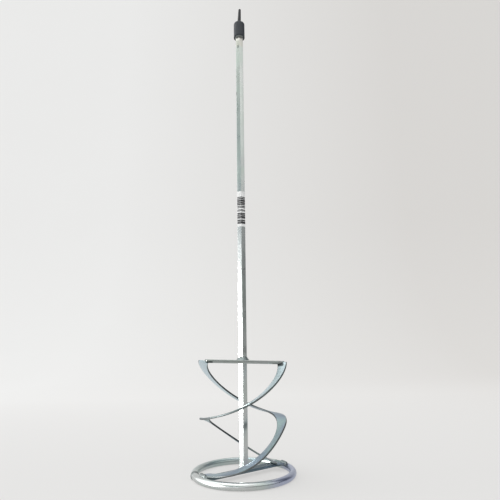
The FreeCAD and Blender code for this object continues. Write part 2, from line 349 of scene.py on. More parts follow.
def bead_mesh(path, radius, side, pitch=1.5, seed=0.0, around=20):
    """A weld bead along a path: rippled, uneven, with round ends.

    side is the direction across the bead that stays level; ripples follow one another
    a pitch apart, as a welding arc leaves them."""
    path = np.array(path, float)
    steps = np.linalg.norm(np.diff(path, axis=0), axis=1)
    reach = np.concatenate([[0], np.cumsum(steps)])
    length = reach[-1]
    count = max(int(length / 0.25), 12)
    points = []
    stops = np.linspace(-radius, length + radius, count + 16)
    for s in stops:
        inside = min(max(s, 0.0), length)
        centre = np.array([np.interp(inside, reach, path[:, k]) for k in range(3)])
        nearby = min(inside + 0.2, length), max(inside - 0.2, 0.0)
        ahead = np.array([np.interp(nearby[0], reach, path[:, k]) - np.interp(nearby[1], reach, path[:, k])
                          for k in range(3)])
        ahead = unit(ahead)
        beyond = s - inside
        size = radius * math.sqrt(max(1 - (beyond / radius) ** 2, 0.0004))
        phase = (s / pitch) % 1.0
        ripple = 1 + 0.07 * (1 - (2 * phase - 1) ** 2)
        level = unit(side - ahead * (side @ ahead))
        top = np.cross(ahead, level)
        for j in range(around):
            angle = 2 * math.pi * j / around
            lean = 0.25 * math.sin(angle) ** 2
            spot = centre + ahead * (beyond - lean)
            spot = spot + (level * math.cos(angle) + top * math.sin(angle)) * size * ripple
            away = unit(spot - centre + 1e-6)
            points.append(spot + away * (0.22 * wobble(spot, 1.6, seed) * size / radius))
    return points, tube_faces(len(stops), around)


# ---------------------------------------------------------------- materials

class Nodes:
    """A material's node tree, built with short calls."""

    def __init__(self, name, block=None, output="Object"):
        self.material = block or bpy.data.materials.new(name)
        self.material.use_nodes = True
        self.tree = self.material.node_tree
        self.shader = self.tree.nodes["Background" if block else "Principled BSDF"]
        self.place = self.tree.nodes.new("ShaderNodeTexCoord").outputs[output]

    def new(self, kind, **settings):
        node = self.tree.nodes.new("ShaderNode" + kind)
        for key, value in settings.items():
            setattr(node, key, value)
        return node

    def link(self, source, target):
        self.tree.links.new(source, target)

    def feed(self, node, **inputs):
        for key, value in inputs.items():
            socket = node.inputs[key.replace("_", " ")]
            if hasattr(value, "is_output"):
                self.link(value, socket)
            else:
                socket.default_value = value
        return node

    def stretched(self, x, y, z):
        """Object coordinates in repeats per metre."""
        node = self.new("Mapping")
        self.link(self.place, node.inputs["Vector"])
        node.inputs["Scale"].default_value = (x, y, z)
        return node.outputs["Vector"]

    def noise(self, vector, scale=1.0, detail=3.0, rough=0.5):
        node = self.new("TexNoise")
        self.feed(node, Vector=vector, Scale=scale, Detail=detail, Roughness=rough)
        return node.outputs["Fac"]

    def ramp(self, value, low, high, to_low=0.0, to_high=1.0):
        node = self.new("MapRange", clamp=True)
        self.feed(node, Value=value, From_Min=low, From_Max=high, To_Min=to_low, To_Max=to_high)
        return node.outputs["Result"]

    def math(self, operation, a, b=0.0):
        node = self.new("Math", operation=operation)
        for socket, value in zip(node.inputs, (a, b)):
            if hasattr(value, "is_output"):
                self.link(value, socket)
            else:
                socket.default_value = value
        return node.outputs["Value"]

    def mix(self, factor, a, b):
        node = self.new("Mix", data_type="RGBA", clamp_factor=True)
        for socket, value in zip((node.inputs[0], node.inputs[6], node.inputs[7]), (factor, a, b)):
            if hasattr(value, "is_output"):
                self.link(value, socket)
            else:
                socket.default_value = value if not isinstance(value, tuple) else (*value, 1.0)
        return node.outputs[2]

    def bump(self, height, distance, strength=1.0):
        node = self.new("Bump")
        self.feed(node, Height=height, Distance=distance, Strength=strength)
        self.link(node.outputs["Normal"], self.shader.inputs["Normal"])

    def finish(self, **inputs):
        self.feed(self.shader, **inputs)
        return self.material


def box_mask(n, box, soft, waver):
    """1 inside a box given in millimetres, 0 outside it, with a soft and wavering edge."""
    split = n.new("SeparateXYZ")
    n.link(n.place, split.inputs[0])
    mask = 1.0
    for axis, (low, high) in zip("XYZ", box):
        place = n.math("ADD", split.outputs[axis], n.math("MULTIPLY", waver, soft * MM))
        mask = n.math("MULTIPLY", mask, n.ramp(place, (low - soft) * MM, (low + soft) * MM))
        mask = n.math("MULTIPLY", mask, n.ramp(place, (high - soft) * MM, (high + soft) * MM, 1.0, 0.0))
    return mask


def zinc(name, tints, rough=(0.24, 0.42), grain=(500.0, 500.0, 12.0), mottle=220.0, upper_tint=None,
         metal=0.8, painted_shade_and_reflection=(), relief_share=0.5):
    """Bright zinc plating over drawn steel: three tints in soft patches, drawing lines along
    the bar, small dull spots and fine pitting. The top tint, as (low, high, tint), is another tint
    above those heights. The painted shade and reflection boxes, as (box, soft, share, tint), are
    places painted in another tint that stand in for shade and reflections on the metal."""
    n = Nodes(name)
    wide = n.noise(n.stretched(1, 1, 1), 22.0, 1.0)
    other = n.noise(n.stretched(1.1, 0.9, 1.0), 31.0, 1.0)
    lines = n.noise(n.stretched(*grain), 1.0, 4.0, 0.6)
    fine = n.noise(n.stretched(1, 1, 1), mottle, 4.0, 0.6)
    spots = n.ramp(n.noise(n.stretched(1, 1, 0.6), mottle * 1.8, 2.0), 0.70, 0.76)
    colour = n.mix(n.ramp(wide, 0.42, 0.58), tints[0], tints[1])
    colour = n.mix(n.ramp(other, 0.48, 0.62), colour, tints[2])
    colour = n.mix(n.ramp(lines, 0.45, 0.75, 0.0, 0.22), colour, tuple(c * 0.78 for c in tints[0]))
    colour = n.mix(n.ramp(fine, 0.5, 0.8, 0.0, 0.15), colour, tuple(min(c * 1.15, 0.95) for c in tints[0]))
    colour = n.mix(n.math("MULTIPLY", spots, 0.4), colour, tuple(c * 0.5 for c in tints[0]))
    # A tint above the given heights: lighter and bluer on the flights' upper part, warmer at the shaft's
    # top.
    if upper_tint is not None:
        height = n.new("SeparateXYZ")
        n.link(n.place, height.inputs[0])
        edge = n.math("ADD", height.outputs["Z"], n.math("MULTIPLY", fine, 0.004))
        colour = n.mix(n.ramp(edge, upper_tint[0] * MM, upper_tint[1] * MM, 0.0, 0.75), colour, upper_tint[2])
    # Each box is painted in its tint, as painted shade or painted reflection.
    for box, soft, share, tint in painted_shade_and_reflection:
        mask = n.math("MULTIPLY", box_mask(n, box, soft, fine), share)
        colour = n.mix(mask, colour, tint)
    gloss = n.math("ADD", n.ramp(wide, 0.3, 0.7, rough[0], rough[1]), n.ramp(lines, 0.3, 0.8, -0.03, 0.06))
    gloss = n.math("ADD", gloss, n.ramp(fine, 0.35, 0.75, -0.02, 0.05))
    relief = n.math("ADD", n.math("MULTIPLY", lines, 0.5), n.math("MULTIPLY", fine, 0.5))
    n.bump(relief, 0.00001, relief_share)
    return n.finish(Base_Color=colour, Metallic=metal, Roughness=gloss)


def plastic(name, colour, rough):
    """Soft moulded plastic with a fine spark-eroded grain, darker on the cap's stem."""
    n = Nodes(name)
    grain = n.noise(n.stretched(1, 1, 1), 2600.0, 3.0, 0.6)
    patches = n.noise(n.stretched(1, 1, 1), 160.0, 3.0)
    shade = n.mix(n.ramp(patches, 0.4, 0.7, 0.0, 0.5), colour, tuple(c * 1.5 for c in colour))
    gloss = n.ramp(patches, 0.3, 0.7, rough - 0.07, rough + 0.08)
    height = n.new("SeparateXYZ")
    n.link(n.place, height.inputs[0])
    stem = n.ramp(height.outputs["Z"], CAP_TOP_Z * MM, (CAP_TOP_Z + 3) * MM, 0.0, 0.7)
    shade = n.mix(stem, shade, (0.0, 0.0, 0.0))
    n.bump(n.math("ADD", grain, patches), 0.00004, 0.5)
    return n.finish(Base_Color=shade, Metallic=0.0, Roughness=gloss)


def paper(name, colour, darker, rough):
    """Coated paper with a trace of fibre and smudging."""
    n = Nodes(name)
    fibre = n.noise(n.stretched(1, 1, 1), 1500.0, 4.0, 0.6)
    smudge = n.noise(n.stretched(1, 1, 1), 140.0, 3.0)
    shade = n.mix(n.ramp(smudge, 0.45, 0.75, 0.0, 0.5), colour, darker)
    n.bump(fibre, 0.00002, 0.4)
    gloss = n.ramp(fibre, 0.3, 0.7, rough - 0.05, rough + 0.08)
    return n.finish(Base_Color=shade, Metallic=0.0, Roughness=gloss)


# Dark lilac for painted shade on flight A's foot.
LILAC_PAINTED_SHADE = (0.15, 0.16, 0.21)
# Near-black, for painted shade and painted dark reflections.
PAINTED_SHADE_BLACK = (0.03, 0.04, 0.04)
GREY = (0.55, 0.57, 0.565)
GREEN = (0.53, 0.58, 0.55)
STEEL_BLUE = (0.28, 0.35, 0.42)
TEAL = (0.33, 0.44, 0.44)
LILAC = (0.38, 0.42, 0.58)
RING_GREEN = (0.47, 0.53, 0.51)
BAR_GREEN = (0.36, 0.39, 0.37)
BAR_GREY = (0.38, 0.395, 0.39)
# Dark blue and teal for the lower bar: painted shade.
DEEP_BLUE_PAINTED_SHADE = (0.13, 0.175, 0.20)
DEEP_TEAL_PAINTED_SHADE = (0.15, 0.195, 0.205)
WELD_GREY = (0.22, 0.24, 0.24)
WELD_TEAL = (0.19, 0.24, 0.24)
# Dark tints for the flights' edge faces: painted shade.
INNER_EDGE_PAINTED_SHADE = (0.07, 0.08, 0.085)
EDGE_GREY_PAINTED_SHADE = (0.14, 0.15, 0.155)
EDGE_TEAL_PAINTED_SHADE = (0.13, 0.155, 0.155)

# Boxes in millimetres for places painted in another tint, as painted shade and painted reflection. They are
# fixed to the object.
RIGHT_FACE = ((0.9, 6.5), (-6.5, -1.5))
# Painted shade and painted dark reflections of the flights: patches on the shaft's right face and spots on
# its left face.
SHAFT_LOW_PATCH = RIGHT_FACE + ((52.0, 59.0),)
SHAFT_HIGH_PATCH = RIGHT_FACE + ((138.0, 146.0),)
SHAFT_LOW_SPOT = ((-5.5, -3.8), (-6.5, 0.0), (486.5, 491.0))
SHAFT_MIDDLE_SPOT = ((-5.5, -4.2), (-6.5, 0.0), (513.0, 518.0))
SHAFT_HIGH_SPOT = ((-2.4, -0.2), (-6.5, 0.0), (561.0, 565.5))
# Painted shadow: the dark lens below the upper bar's right end, on flight A's top.
FLIGHT_A_TOP = ((34.0, 49.0), (-9.0, 9.0), (121.3, 126.5))
# Painted shade on flight A's foot, by the ring's right back.
FLIGHT_A_FOOT = ((22.0, 56.0), (18.0, 56.0), (-5.0, 20.0))
# Painted shadow at the upper bar's ends.
UPPER_BAR_LEFT_END = ((-44.5, -35.0), (-20.0, 0.0), (122.0, 128.2))
UPPER_BAR_RIGHT_END = ((36.0, 47.0), (-20.0, 20.0), (120.0, 124.4))
# Painted reflection: a lilac tint on the ring's right and a teal tint on its back.
RING_RIGHT = ((34.0, 70.0), (-70.0, 30.0), (-5.0, 20.0))
RING_BACK = ((-70.0, 20.0), (0.0, 70.0), (-5.0, 20.0))

# Painted shade and painted reflections on the shaft.
shaft_painted_shade = ((SHAFT_LOW_PATCH, 2.0, 0.6, PAINTED_SHADE_BLACK), (SHAFT_HIGH_PATCH, 1.5, 0.3, PAINTED_SHADE_BLACK),
                (SHAFT_LOW_SPOT, 0.7, 0.7, PAINTED_SHADE_BLACK), (SHAFT_MIDDLE_SPOT, 0.7, 0.6, PAINTED_SHADE_BLACK),
                (SHAFT_HIGH_SPOT, 0.8, 0.6, PAINTED_SHADE_BLACK))
# Painted shadow on flight A's top below the bar, and painted shade on flight A's foot.
flight_painted_shade = ((FLIGHT_A_TOP, 0.7, 0.95, PAINTED_SHADE_BLACK), (FLIGHT_A_FOOT, 3.0, 0.85, LILAC_PAINTED_SHADE))
# Painted shadow on the upper bar's ends.
bar_painted_shade = ((UPPER_BAR_LEFT_END, 0.4, 0.9, PAINTED_SHADE_BLACK), (UPPER_BAR_RIGHT_END, 0.6, 0.6, PAINTED_SHADE_BLACK))
# Painted reflection on the ring.
ring_painted_reflection = ((RING_RIGHT, 9.0, 0.8, LILAC), (RING_BACK, 9.0, 0.35, TEAL))

# Drawing lines: repeats per metre along X, Y and Z
SHAFT_GRAIN = (600.0, 600.0, 9.0)
BAR_GRAIN = (12.0, 500.0, 500.0)
FLIGHT_GRAIN = (90.0, 90.0, 90.0)
ROD_GRAIN = (60.0, 60.0, 60.0)
WELD_GRAIN = (300.0, 300.0, 300.0)
SHAFT_TOP_TINT = (564.0, 567.0, (0.56, 0.54, 0.50))
FLIGHT_TOP_TINT = (66.0, 92.0, (0.66, 0.77, 0.81))

shaft_zinc = zinc("zinc_shaft", (GREY, GREEN, GREY), (0.24, 0.34), SHAFT_GRAIN, 260.0,
                  upper_tint=SHAFT_TOP_TINT, metal=0.92, painted_shade_and_reflection=shaft_painted_shade, relief_share=0.15)
flight_zinc = zinc("zinc_flights", (STEEL_BLUE, TEAL, STEEL_BLUE), (0.30, 0.42), FLIGHT_GRAIN,
                   upper_tint=FLIGHT_TOP_TINT, metal=0.92, painted_shade_and_reflection=flight_painted_shade)
ring_zinc = zinc("zinc_ring", (GREY, RING_GREEN, GREY), (0.24, 0.33), ROD_GRAIN, metal=0.96,
                 painted_shade_and_reflection=ring_painted_reflection, relief_share=0.15)
bar_zinc = zinc("zinc_crossbars", (BAR_GREEN, BAR_GREY, BAR_GREEN), (0.26, 0.4), BAR_GRAIN,
                metal=0.92, painted_shade_and_reflection=bar_painted_shade)
# A darker copy of the zinc for the lower bar: painted shade.
low_bar_zinc_painted_shade = zinc("zinc_lower_bar_painted_shade", (DEEP_BLUE_PAINTED_SHADE, DEEP_TEAL_PAINTED_SHADE, DEEP_BLUE_PAINTED_SHADE), (0.3, 0.42), ROD_GRAIN,
                    metal=0.95)
# Darker copies of the flights' zinc for their outer and inner edges: painted shade.
painted_shade_edge_zinc = zinc("zinc_edges_painted_shade", (EDGE_GREY_PAINTED_SHADE, EDGE_TEAL_PAINTED_SHADE, EDGE_GREY_PAINTED_SHADE), (0.42, 0.55), ROD_GRAIN, metal=0.9)
painted_shade_inner_edge_zinc = zinc("zinc_inner_edges_painted_shade", (INNER_EDGE_PAINTED_SHADE, INNER_EDGE_PAINTED_SHADE, EDGE_TEAL_PAINTED_SHADE), (0.42, 0.55), ROD_GRAIN,
                       metal=0.9)
weld_zinc = zinc("zinc_welds", (WELD_GREY, WELD_TEAL, WELD_GREY), (0.3, 0.5), WELD_GRAIN, 500.0,
                 metal=0.9)
cap_plastic = plastic("plastic_cap", (0.018, 0.022, 0.030), 0.55)
label_white = paper("label_white", (0.86, 0.86, 0.86), (0.74, 0.74, 0.75), 0.45)
# Grey ink: the bars painted lighter on the label's left face, as painted glare.
label_ink_under_painted_glare = paper("label_ink_painted_glare", (0.10, 0.10, 0.105), (0.16, 0.16, 0.165), 0.6)
label_ink = paper("label_ink", (0.012, 0.012, 0.014), (0.03, 0.03, 0.035), 0.4)


# ---------------------------------------------------------------- the steel

def base_ring():
    """The ring's rod, very slightly uneven as bent rod is."""
    around, steps = 32, 240
    start = RING_SEAM_DEG + RING_SEAM_GAP_DEG / 2
    points = []
    for i in range(steps + 1):
        angle = start + (360 - RING_SEAM_GAP_DEG) * i / steps
        out = at(1, angle, 0)
        radius = RING_R + 0.12 * math.sin(math.radians(3 * angle + 40))
        for j in range(around):
            turn = 2 * math.pi * j / around
            points.append(out * (radius + ROD_R * math.cos(turn)) + UP * (ROD_R + ROD_R * math.sin(turn)))
    return piece("ring_rod", points, tube_faces(steps + 1, around), [ring_zinc], "paddle",
                 ["base_ring"])


def ring_seam_weld():
    """The butt weld: a lumpy sleeve, ground flat below."""
    around, steps, sweep = 36, 26, 7.0
    points = []
    for i in range(steps + 1):
        share = i / steps
        angle = RING_SEAM_DEG + (share - 0.5) * sweep
        out = at(1, angle, 0)
        swell = 0.7 * math.sin(math.pi * share) ** 0.6 - 0.06
        ridge = 0.10 * (1 - (2 * ((share * 5) % 1.0) - 1) ** 2)
        for j in range(around):
            turn = 2 * math.pi * j / around
            away = out * math.cos(turn) + UP * math.sin(turn)
            spot = out * RING_R + UP * ROD_R + away * ROD_R
            lump = 0.25 * wobble(spot, 1.8, 3.0) * math.sin(math.pi * share)
            spot = spot + away * max(swell + ridge * math.sin(math.pi * share) + lump, -0.06)
            spot[2] = max(spot[2], 0.02)
            points.append(spot)
    return piece("ring_seam_bead", points, tube_faces(steps + 1, around), [weld_zinc], "paddle",
                 ["ring_seam_weld"])


def straight_sections(length, offset):
    """Sections of the upper crossbar, from its -X end to its +X end."""
    along, side, above, low = upper_bar_frame()
    middle = low + above * (UPPER_BAR_THICK / 2)
    stops = np.linspace(offset - length / 2, offset + length / 2, 2)
    return [(middle + along * s, side, above) for s in stops]


def upper_crossbar():
    sections = straight_sections(UPPER_BAR_LENGTH, UPPER_BAR_OFFSET)
    points, faces = bar_mesh(sections, UPPER_BAR_WIDTH, UPPER_BAR_THICK, UPPER_BAR_EDGE_R,
                             UPPER_BAR_CHAMFER)
    return piece("upper_bar", points, faces, [bar_zinc], "paddle", ["upper_crossbar"])


def lower_crossbar():
    """The lower bar. Its ends run into the ring's inner side."""
    ahead, side = at(1, LOWER_BAR_DEG, 0), at(1, LOWER_BAR_DEG + 90, 0)
    middle = UP * (LOWER_BAR_LOW_Z + LOWER_BAR_THICK / 2)
    reach = RING_R - ROD_R + LOWER_BAR_OVERLAP
    sections = [(middle - ahead * reach, side, UP), (middle + ahead * reach, side, UP)]
    points, faces = bar_mesh(sections, LOWER_BAR_WIDTH, LOWER_BAR_THICK, LOWER_BAR_EDGE_R)
    # The lower bar takes the darker zinc: painted shade.
    return piece("lower_bar", points, faces, [low_bar_zinc_painted_shade], "paddle", ["lower_crossbar"])


def hex_shaft():
    outline = hexagon(HEX_FLATS, HEX_EDGE_R, 4)
    stops = [SHAFT_LOW_Z] + list(np.linspace(SHAFT_LOW_Z + 1, SHAFT_TOP_Z - 0.6, 60)) + [SHAFT_TOP_Z]
    points = []
    for z in stops:
        size = 0.93 if z == SHAFT_TOP_Z else 1.0
        points.extend(np.array([u * size, v * size, z]) for u, v in outline)
    return piece("shaft_bar", points, tube_faces(len(stops), len(outline)), [shaft_zinc], "paddle",
                 ["hex_shaft"], sharp_deg=50.0)


def thread_radius(turns_up, z):
    """The thread's radius, where turns_up counts whole turns and its fraction is the flank."""
    phase = turns_up % 1.0
    flank = min(max((0.5 - abs(phase - 0.5)) * 4 - 0.4, 0.0), 1.0)
    fade = min(max((z - SHAFT_TOP_Z - 0.8) / 1.2, 0), 1) * min(max((STUD_TOP_Z - 0.6 - z) / 1.2, 0), 1)
    return THREAD_R - THREAD_DEPTH + THREAD_DEPTH * flank * fade


def threaded_stud():
    """The stud, with its thread as a real right-hand helix."""
    around, per_pitch = 72, 16
    count = int((STUD_TOP_Z - SHAFT_TOP_Z) / THREAD_PITCH * per_pitch)
    points = []
    for i in range(count + 1):
        z = SHAFT_TOP_Z + (STUD_TOP_Z - SHAFT_TOP_Z) * i / count
        shrink = 0.5 if i == count else 0.0
        for j in range(around):
            angle = 360.0 * j / around
            turns_up = (z - SHAFT_TOP_Z) / THREAD_PITCH - j / around
            points.append(at(thread_radius(turns_up, z) - shrink, angle, z))
    return piece("stud_thread", points, tube_faces(count + 1, around), [bar_zinc], "paddle",
                 ["threaded_stud"])


def stud_weld():
    """The fillet between the shaft and the stud, inside the cap's mouth."""
    profile = [(5.0, 579.9), (5.75, 580.1), (6.15, 580.6), (6.42, 581.3), (6.5, 582.1), (6.35, 582.8),
               (5.6, 583.0), (5.0, 583.0)]
    points, faces = revolved(profile, 72)
    points = [p + unit(p * (1, 1, 0)) * 0.08 * wobble(p, 1.4, 8.0) for p in np.array(points)]
    return piece("stud_bead", points, faces, [weld_zinc], "paddle", ["stud_weld"])


def hub_bead(name, node, low_z, height, reach, seed, flat_side=None):
    """A rippled fillet round the hexagonal shaft on top of a bar."""
    around, rows = 96, 9
    points = []
    for j in range(around):
        angle = 360.0 * j / around
        ripple = 0.12 * abs(math.sin(math.radians(angle) * 11))
        for i in range(rows):
            share = i / (rows - 1)
            radius = HUB_BEAD_INNER_R + (reach - HUB_BEAD_INNER_R) * (1 - share) ** 1.35
            z = low_z + height * share ** 1.1
            lump = ripple + 0.25 * wobble((angle / 12.0, i, seed), 1.5, seed)
            bulge = lump * math.sin(math.pi * min(share + 0.2, 1))
            points.append(at(radius + bulge, angle, z + bulge * 0.4))
        points.append(at(HUB_BEAD_CORE_R, angle, low_z + height))
        points.append(at(HUB_BEAD_CORE_R, angle, low_z - HUB_BEAD_SUNK))
        points.append(at(reach - HUB_BEAD_SUNK, angle, low_z - HUB_BEAD_SUNK))
    count = rows + 3
    if flat_side is not None:
        ahead = at(1, flat_side + 90, 0)
        for k, p in enumerate(points):
            over = abs(p @ ahead) - (LOWER_BAR_WIDTH / 2 - 0.2)
            if over > 0:
                points[k] = p - ahead * math.copysign(over, p @ ahead)
    faces = []
    for j in range(around):
        k = (j + 1) % around
        for i in range(count):
            n = (i + 1) % count
            faces.append((j * count + i, j * count + n, k * count + n, k * count + i))
    return piece(name, points, faces, [weld_zinc], "paddle", [node], sharp_deg=60)


def ring_path(radius, from_deg, to_deg, z, count=14):
    return [at(radius, from_deg + (to_deg - from_deg) * i / count, z) for i in range(count + 1)]


def weld_piece(name, node, path, radius, side, seed):
    """A bead along a path, as a piece of its own."""
    points, faces = bead_mesh(path, radius, side, seed=seed)
    piece(name, points, faces, [weld_zinc], "paddle", [node], sharp_deg=60)


def small_welds():
    """The beads at the bars' and flights' ends."""
    upper_along, upper_side, above, low = upper_bar_frame()
    bar_top_z = LOWER_BAR_LOW_Z + LOWER_BAR_THICK
    for letter, side_deg, span, set_out in (("a", 0, FLIGHT_A_SPAN_DEG, TOP_BEAD_SET_OUTS[0]),
                                            ("b", 180, FLIGHT_B_SPAN_DEG, TOP_BEAD_SET_OUTS[1])):
        bar_deg = LOWER_BAR_DEG + side_deg
        middle = at(RING_R - ROD_R + BEAD_SUNK, bar_deg, bar_top_z - BEAD_SUNK)
        along = at((LOWER_BAR_WIDTH - 2.4) / 2, bar_deg + 90, 0)
        weld_piece("bar_end_bead_" + letter, "bar_end_weld_" + letter, [middle - along, middle + along],
                   BEAD_R, at(1, bar_deg, 0), 4.0 + side_deg)
        from_deg = FIRST_MARK_DEG - span[1] + side_deg + 1
        path = ring_path(FOOT_BEAD_PATH_R, from_deg, from_deg + FOOT_BEAD_SWEEP_DEG, FOOT_BEAD_Z)
        weld_piece("foot_bead_" + letter, "flight_" + letter + "_foot_weld", path, BEAD_R,
                   at(1, from_deg + 4, 0), 6.0 + side_deg)
        end = UPPER_BAR_OFFSET + (UPPER_BAR_LENGTH / 2 if letter == "a" else -UPPER_BAR_LENGTH / 2)
        start = low + upper_along * end + above * TOP_BEAD_RISE - upper_side * set_out
        weld_piece("top_bead_" + letter, "flight_" + letter + "_top_weld",
                   [start, start - upper_side * TOP_BEAD_LENGTH], TOP_BEAD_R - 0.05, upper_side,
                   9.0 + side_deg)


def flights():
    for letter, heights, tilts, span, turn in (
            ("a", FLIGHT_A_HEIGHTS, FLIGHT_A_TILTS, FLIGHT_A_SPAN_DEG, 0),
            ("b", FLIGHT_B_HEIGHTS, FLIGHT_B_TILTS, FLIGHT_B_SPAN_DEG, 180)):
        points, faces, inks = flight_mesh(heights, tilts, span, turn)
        piece("flight_strip_" + letter, points, faces, [flight_zinc, painted_shade_edge_zinc, painted_shade_inner_edge_zinc], "paddle",
              ["flight_" + letter], sharp_deg=40, inks=inks)


# ---------------------------------------------------------------- the cap and the label

def thread_cap():
    """The cap: an open sleeve with a rounded shoulder and a leaning, tapered stem."""
    wall, rim = CAP_R, CAP_RIM_Z
    profile = [(CAP_BORE_R, rim + 0.3), (CAP_BORE_R + 0.15, rim + 0.08), (CAP_BORE_R + 0.3, rim),
               (wall - 0.25, rim), (wall - 0.07, rim + 0.08), (wall, rim + 0.3)]
    profile += [(wall, z) for z in np.linspace(rim + 1.5, CAP_SHOULDER_Z, 14)]
    fillet = STEM_FILLET_R
    width, rise = wall - STEM_ROOT_R - fillet, CAP_TOP_Z - CAP_SHOULDER_Z
    for i in range(1, 11):
        angle = math.radians(90 * i / 10)
        profile.append((wall - width * (1 - math.cos(angle)), CAP_SHOULDER_Z + rise * math.sin(angle)))
    for i in range(1, 7):
        angle = math.radians(90 * i / 6)
        profile.append((STEM_ROOT_R + fillet - fillet * math.sin(angle),
                        CAP_TOP_Z + fillet - fillet * math.cos(angle)))
    tip = STEM_TOP_Z - STEM_TIP_R
    taper, length = STEM_TIP_R - STEM_ROOT_R, tip - CAP_TOP_Z - fillet
    for i in range(1, 13):
        share = i / 12
        profile.append((STEM_ROOT_R + taper * share, CAP_TOP_Z + fillet + length * share))
    for i in range(1, 9):
        angle = math.radians(90 * i / 8)
        profile.append((max(STEM_TIP_R * math.cos(angle), 0.02), tip + STEM_TIP_R * math.sin(angle)))
    profile += [(0.02, CAP_BORE_TOP_Z + 0.2), (0.02, CAP_BORE_TOP_Z), (CAP_BORE_R - 0.4, CAP_BORE_TOP_Z),
                (CAP_BORE_R, CAP_BORE_TOP_Z - 0.4)]
    points, faces = revolved(profile, 72)
    lean = math.tan(math.radians(STEM_LEAN_DEG))
    for p in points:
        if p[2] > CAP_TOP_Z:
            p[0] += lean * (p[2] - CAP_TOP_Z)
    return piece("cap_moulding", points, faces, [cap_plastic], "cap", ["thread_cap"],
                 sharp_deg=50)


def label_rows():
    """Heights that part the label's bars, and which of the two front faces each band inks in black.
    On the left face the other bars take a lighter ink, which is painted glare.
    """
    bands = [(0.0, "")]
    z = LABEL_FIRST_BAR
    pattern = ((3.3, "r"), (0.4, ""), (1.9, "lr"), (1.1, ""), (0.6, "r"), (0.3, ""), (2.9, "r"), (0.4, ""),
               (2.0, "r"), (0.3, ""), (1.7, "lr"), (1.9, ""), (1.0, "r"), (0.4, ""), (1.3, "r"), (1.8, ""),
               (1.2, "r"), (0.5, ""), (1.4, "r"), (0.9, ""), (1.7, "lr"), (0.3, ""), (2.3, "r"), (0.35, ""),
               (2.9, "r"), (0.4, ""), (1.7, "r"), (0.5, ""), (1.5, "r"))
    for size, sides in pattern:
        bands.append((z, sides))
        z += size
    bands.append((z, ""))
    return bands


def barcode_label():
    """The label: a thin wrap round the shaft, with plain bars printed across its front."""
    inner = hexagon(HEX_FLATS + 0.02, HEX_EDGE_R, 3)
    outer = hexagon(HEX_FLATS + 2 * LABEL_THICK, 0.65, 3)
    angles = np.degrees(np.arctan2(outer[:, 1], outer[:, 0]))
    front = (angles - 90 + 360) % 360
    keep = [i for i in np.argsort(front)]
    ring_out, ring_in, turn = outer[keep], inner[keep], front[keep]
    gap = math.degrees(math.asin(LABEL_GAP / 2 / (HEX_FLATS / 2)))
    dense_out, dense_in, dense_turn = [], [], []
    for i in range(len(keep) - 1):
        for s in np.linspace(0, 1, 4, endpoint=False):
            dense_out.append(ring_out[i] * (1 - s) + ring_out[i + 1] * s)
            dense_in.append(ring_in[i] * (1 - s) + ring_in[i + 1] * s)
            dense_turn.append(turn[i] * (1 - s) + turn[i + 1] * s)
    chosen = [i for i, a in enumerate(dense_turn) if gap < a < 360 - gap]
    bands = label_rows()
    stops = [LABEL_LOW_Z + z for z, _ in bands] + [LABEL_HIGH_Z]
    columns, rows = len(chosen), len(stops)
    points, faces, inks = [], [], []
    for z in stops:
        for i in chosen:
            points.append(np.array([*dense_out[i], z]))
        for i in chosen:
            points.append(np.array([*dense_in[i], z]))
    ridge = (HEX_CORNER_DEG - 90) % 360
    for r in range(rows - 1):
        sides = bands[r][1]
        low, high = r * 2 * columns, (r + 1) * 2 * columns
        for c in range(columns - 1):
            here = (dense_turn[chosen[c]] + dense_turn[chosen[c + 1]]) / 2 - ridge
            faces.append((low + c, low + c + 1, high + c + 1, high + c))
            if "r" in sides and -2 < here < 62:
                inks.append(1)
            # On the left face, bars not marked l take the lighter grey ink: painted glare.
            elif sides and -60 < here <= -2:
                inks.append(1 if "l" in sides else 2)
            else:
                inks.append(0)
            faces.append((low + columns + c + 1, low + columns + c, high + columns + c,
                          high + columns + c + 1))
            inks.append(0)
        for c, flip in ((0, False), (columns - 1, True)):
            face = (low + c, high + c, high + columns + c, low + columns + c)
            faces.append(tuple(reversed(face)) if flip else face)
            inks.append(0)
    for r, flip in ((0, False), (rows - 1, True)):
        base = r * 2 * columns
        for c in range(columns - 1):
            face = (base + c, base + columns + c, base + columns + c + 1, base + c + 1)
            faces.append(tuple(reversed(face)) if flip else face)
            inks.append(0)
    return piece("label_wrap", points, faces, [label_white, label_ink, label_ink_under_painted_glare], "paddle",
                 ["barcode_label"], sharp_deg=50, inks=inks)


base_ring()
ring_seam_weld()
upper_crossbar()
lower_crossbar()
hex_shaft()
threaded_stud()
stud_weld()
hub_bead("upper_hub_bead", "upper_hub_weld", UPPER_BAR_LOW_Z + UPPER_BAR_THICK, 4.3, 7.8, 1.0)
hub_bead("lower_hub_bead", "lower_hub_weld", LOWER_BAR_LOW_Z + LOWER_BAR_THICK, 2.4, 7.7, 2.0, LOWER_BAR_DEG)
small_welds()
flights()
thread_cap()
barcode_label()


# ---------------------------------------------------------------- stage, light and camera

# The stage, in metres
STAGE_HALF_WIDTH = 4.0
STAGE_FRONT_Y = -3.0
STAGE_BEND_Y = 1.6
STAGE_BEND_R = 1.2
STAGE_TOP_Z = 4.0


